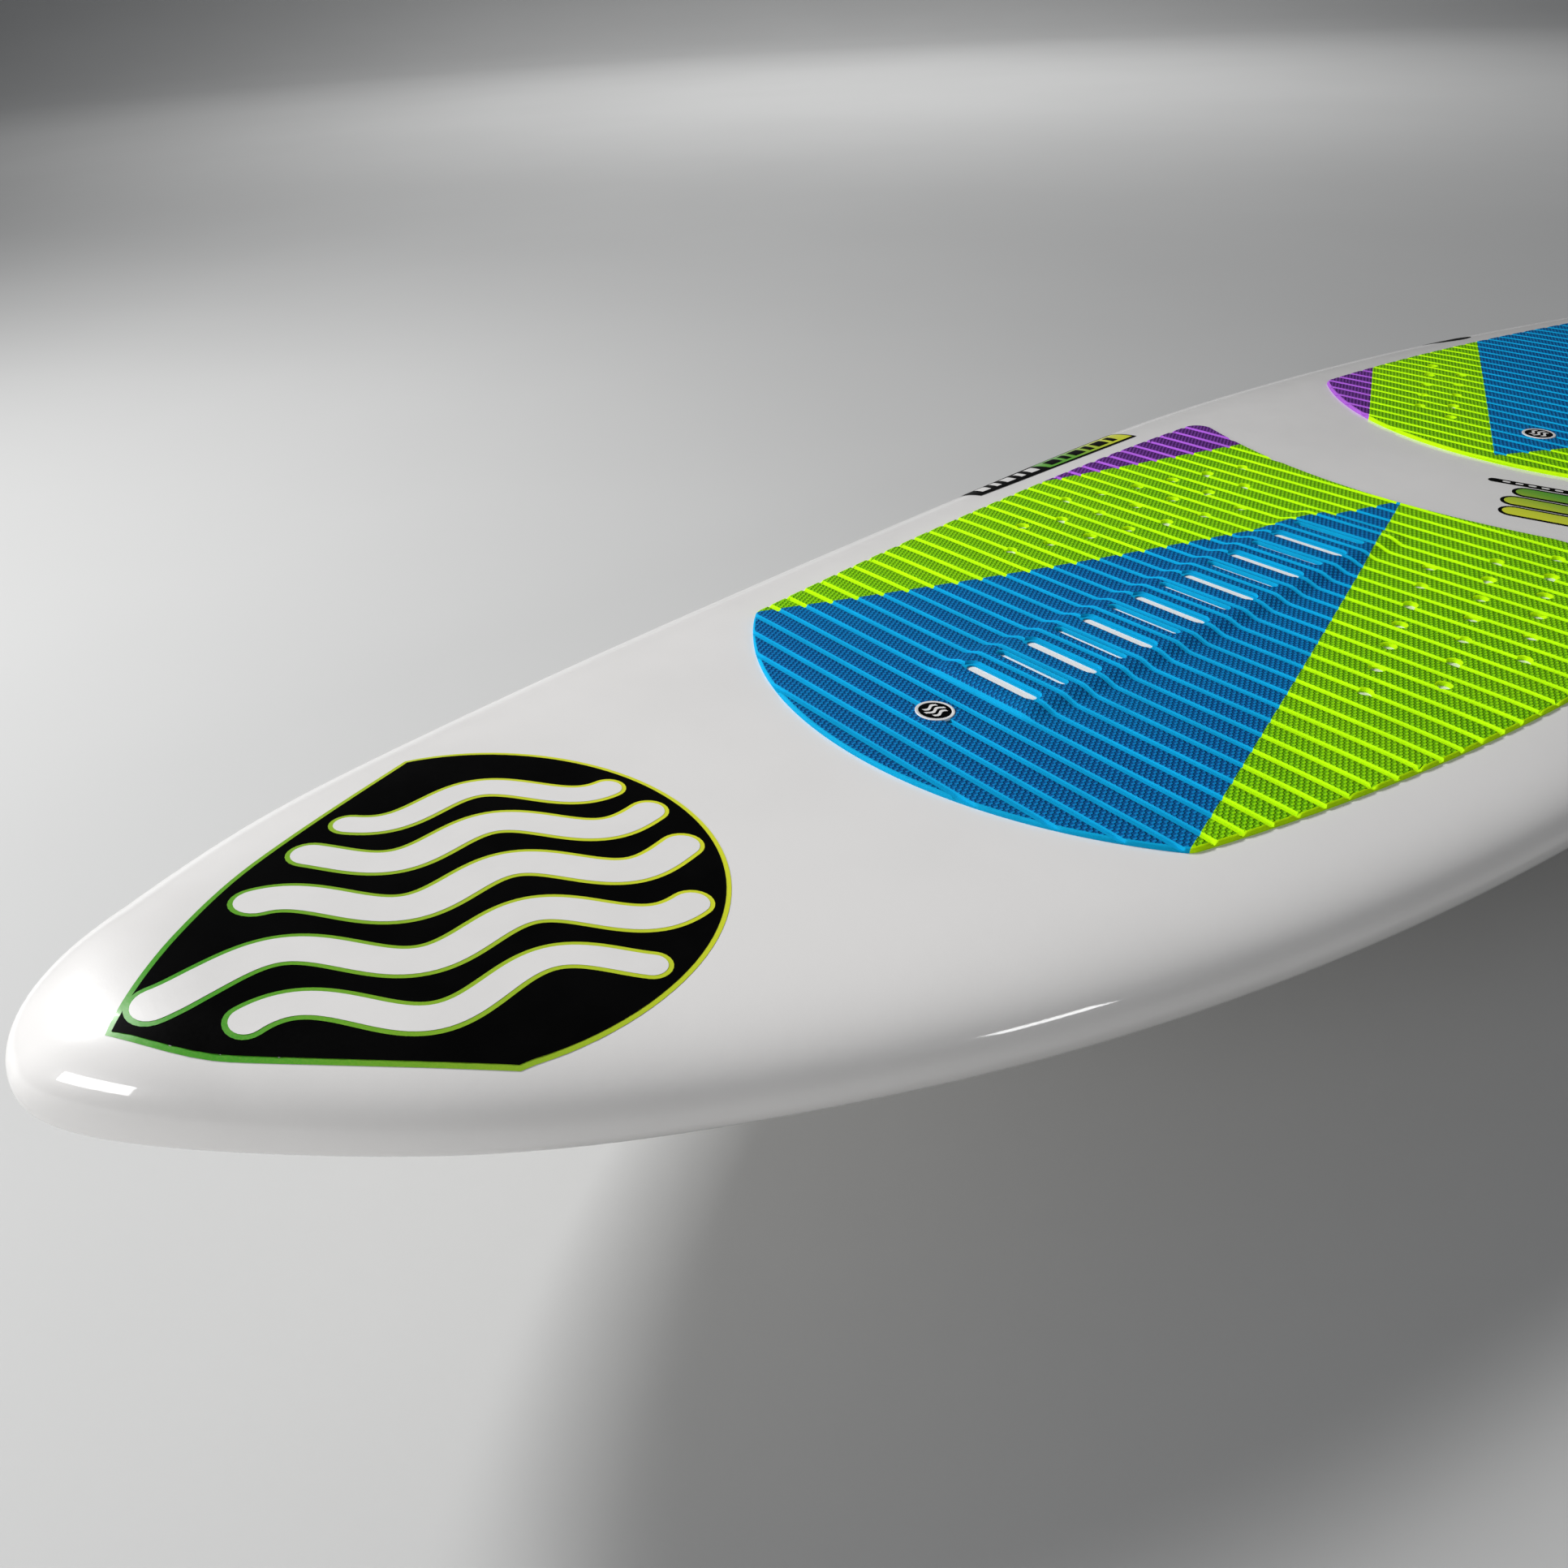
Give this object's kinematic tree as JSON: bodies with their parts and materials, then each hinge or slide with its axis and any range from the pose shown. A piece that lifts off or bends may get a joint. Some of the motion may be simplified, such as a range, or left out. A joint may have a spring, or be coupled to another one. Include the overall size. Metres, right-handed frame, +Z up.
{
  "type": "kiteboard",
  "caption": "Strapless surf-style kiteboard with a pointed nose, squash tail, two grooved foam traction pads, an arch bar, a leash plug, a vent and three screwed-in fins.",
  "frame": {"origin": "midway along the length on the centre line, level with the tips of the side fins", "axes": "+X to the nose, +Y to the left rail, +Z up out of the deck"},
  "size_m": [1.5586, 0.4998, 0.2169],
  "materials": {
    "laminate": "gloss white lacquer over glass and epoxy",
    "core_foam": "expanded polystyrene bead foam",
    "hard_foam": "closed-cell structural foam",
    "stringer_wood": "thin plywood",
    "pad_blue": "grooved closed-cell EVA foam with a fine studded texture",
    "pad_lime": "grooved closed-cell EVA foam with a fine studded texture",
    "pad_purple": "grooved closed-cell EVA foam with a fine studded texture",
    "pad_white": "plain closed-cell EVA foam",
    "printed_graphic": "printed film under clear lacquer",
    "fin_box_plastic": "moulded nylon",
    "fin_composite": "glass-filled moulded composite",
    "stainless": "machined stainless steel",
    "plug_plastic": "moulded nylon",
    "seal_rubber": "nitrile rubber"
  },
  "bodies": {
    "board": {"deck_skin": "laminate", "bottom_skin": "laminate", "foam_core_left": "core_foam", "foam_core_right": "core_foam", "front_deck_stiffener": "hard_foam", "rear_deck_stiffener": "hard_foam", "stringer": "stringer_wood", "front_pad_centre": "pad_blue", "front_pad_side_left": "pad_lime", "front_pad_side_right": "pad_lime", "front_pad_corner_left": "pad_purple", "front_pad_corner_right": "pad_purple", "rear_pad_centre": "pad_blue", "rear_pad_side_left": "pad_lime", "rear_pad_side_right": "pad_lime", "rear_pad_corner_left": "pad_purple", "rear_pad_corner_right": "pad_purple", "rear_tail_kick": "pad_blue", "front_arch_bar": "pad_white", "front_badge": "printed_graphic", "rear_badge": "printed_graphic", "fin_box_centre": "fin_box_plastic", "fin_box_left": "fin_box_plastic", "fin_box_right": "fin_box_plastic", "leash_cup": "plug_plastic", "leash_pin": "stainless", "vent_body": "plug_plastic"},
    "fin_centre_body": {"fin_centre": "fin_composite"},
    "fin_left_body": {"fin_left": "fin_composite"},
    "fin_right_body": {"fin_right": "fin_composite"},
    "fin_screw_centre_body": {"fin_screw_centre": "stainless"},
    "fin_screw_left_body": {"fin_screw_left": "stainless"},
    "fin_screw_right_body": {"fin_screw_right": "stainless"},
    "vent_plug_body": {"vent_plug": "stainless", "vent_oring": "seal_rubber"}
  },
  "joints": [
    {"name": "fin_centre_slide", "type": "slide", "parent": "board", "child": "fin_centre_body", "axis": [-0.0696, 0, -0.9976], "range_m": [0, 0.022]},
    {"name": "fin_screw_centre_turn", "type": "hinge", "parent": "board", "child": "fin_screw_centre_body", "pos_m": [-0.57101, 0, 0.11601], "axis": [-0.5879, 0, 0.8089], "range_deg": [-1080, 0]},
    {"name": "fin_left_slide", "type": "slide", "parent": "board", "child": "fin_left_body", "axis": [-0.0367, 0.1044, -0.9939], "range_m": [0, 0.022]},
    {"name": "fin_screw_left_turn", "type": "hinge", "parent": "board", "child": "fin_screw_left_body", "pos_m": [-0.37703, 0.15717, 0.10778], "axis": [-0.6135, -0.052, 0.788], "range_deg": [-1080, 0]},
    {"name": "fin_right_slide", "type": "slide", "parent": "board", "child": "fin_right_body", "axis": [-0.0367, -0.1044, -0.9939], "range_m": [0, 0.022]},
    {"name": "fin_screw_right_turn", "type": "hinge", "parent": "board", "child": "fin_screw_right_body", "pos_m": [-0.37703, -0.15717, 0.10778], "axis": [-0.6135, 0.052, 0.788], "range_deg": [-1080, 0]},
    {"name": "vent_plug_turn", "type": "hinge", "parent": "board", "child": "vent_plug_body", "pos_m": [-0.722, 0.052, 0.145], "axis": [0, 0, 1], "range_deg": [0, 720]}
  ]
}
